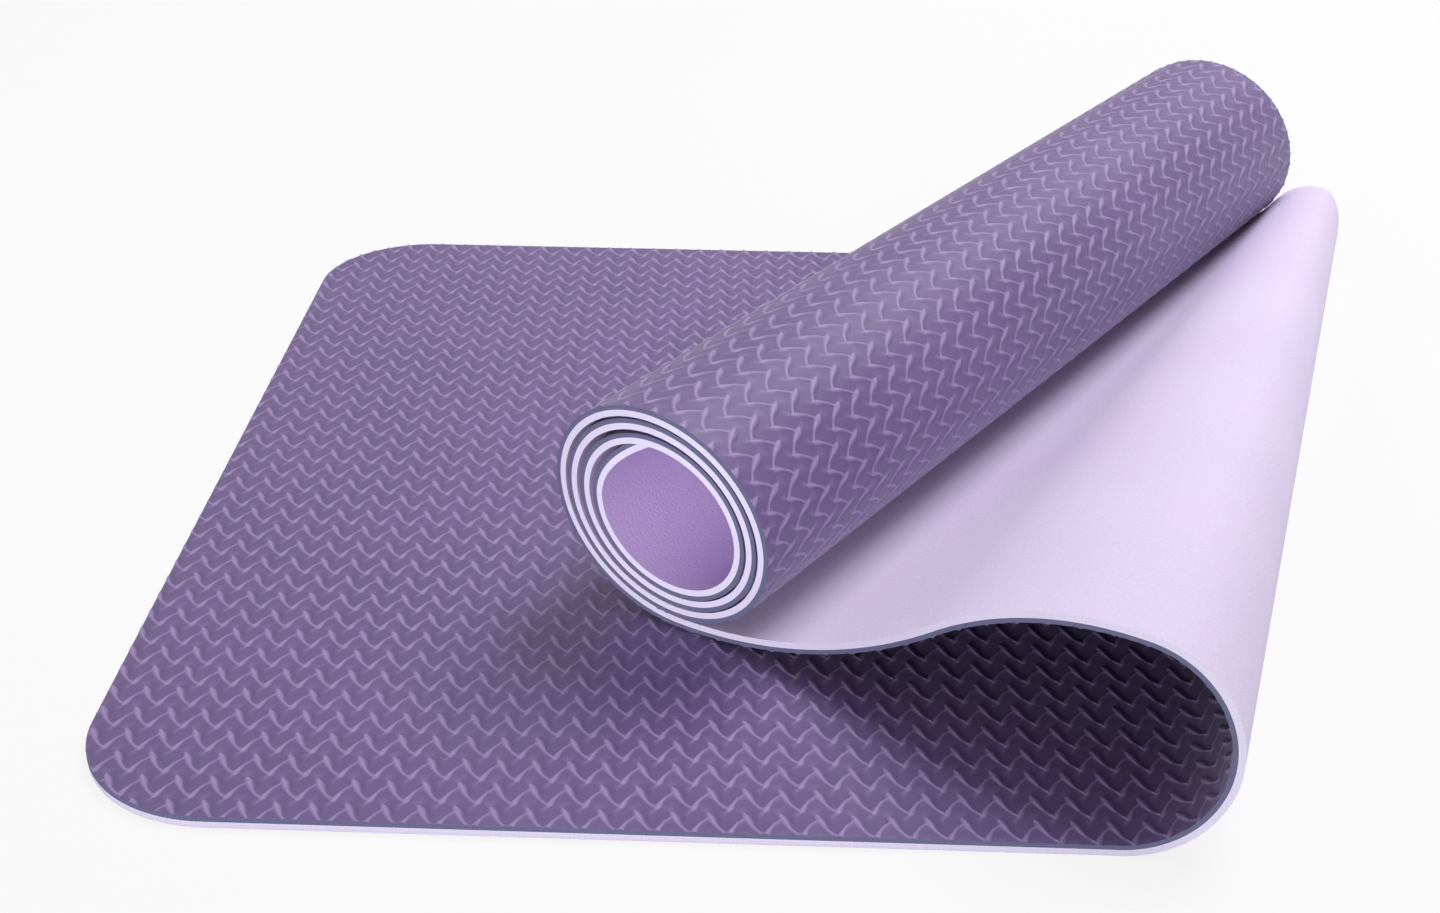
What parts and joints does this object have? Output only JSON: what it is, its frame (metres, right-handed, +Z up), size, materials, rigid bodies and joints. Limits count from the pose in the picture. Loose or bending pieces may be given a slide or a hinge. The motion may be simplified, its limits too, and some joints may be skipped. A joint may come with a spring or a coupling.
{
  "type": "yoga mat",
  "caption": "Layered foam exercise mat, half unrolled: a flat end, a skewed open fold and a wound roll. Dark side with raised zigzag ribs, smooth lilac underside.",
  "frame": {"origin": "middle of the mat's footprint, on the surface that it lies on", "axes": "+Z up; +X from the flat free end towards the fold; +Y from the near long edge to the far one"},
  "size_m": [0.6514, 0.6936, 0.1265],
  "materials": {
    "dark_foam": "matte closed-cell foam with raised zigzag ribs",
    "lilac_foam": "smooth matte closed-cell foam"
  },
  "bodies": {
    "root": {"flat_under_layer": "lilac_foam", "flat_top_layer": "dark_foam", "fold_foot_under_layer": "lilac_foam", "fold_foot_top_layer": "dark_foam"},
    "fold": {"fold_middle_under_layer": "lilac_foam", "fold_middle_top_layer": "dark_foam"},
    "leaf": {"leaf_under_layer": "lilac_foam", "leaf_top_layer": "dark_foam", "roll_under_layer_1": "lilac_foam", "roll_under_layer_2": "lilac_foam", "roll_under_layer_3": "lilac_foam", "roll_under_layer_4": "lilac_foam", "roll_top_layer": "dark_foam"}
  },
  "joints": [
    {"name": "fold_foot_hinge", "type": "hinge", "parent": "root", "child": "fold", "pos_m": [0.22852, -0.04055, 0.00846], "axis": [0.2859, 0.9582, -0.0055], "range_deg": [0, 68]},
    {"name": "fold_crest_hinge", "type": "hinge", "parent": "fold", "child": "leaf", "pos_m": [0.23207, -0.02833, 0.06114], "axis": [0.2857, 0.957, -0.0514], "range_deg": [0, 68]}
  ],
  "couplings": [
    {"joint": "fold_crest_hinge", "follows": "fold_foot_hinge", "ratio": 1}
  ]
}
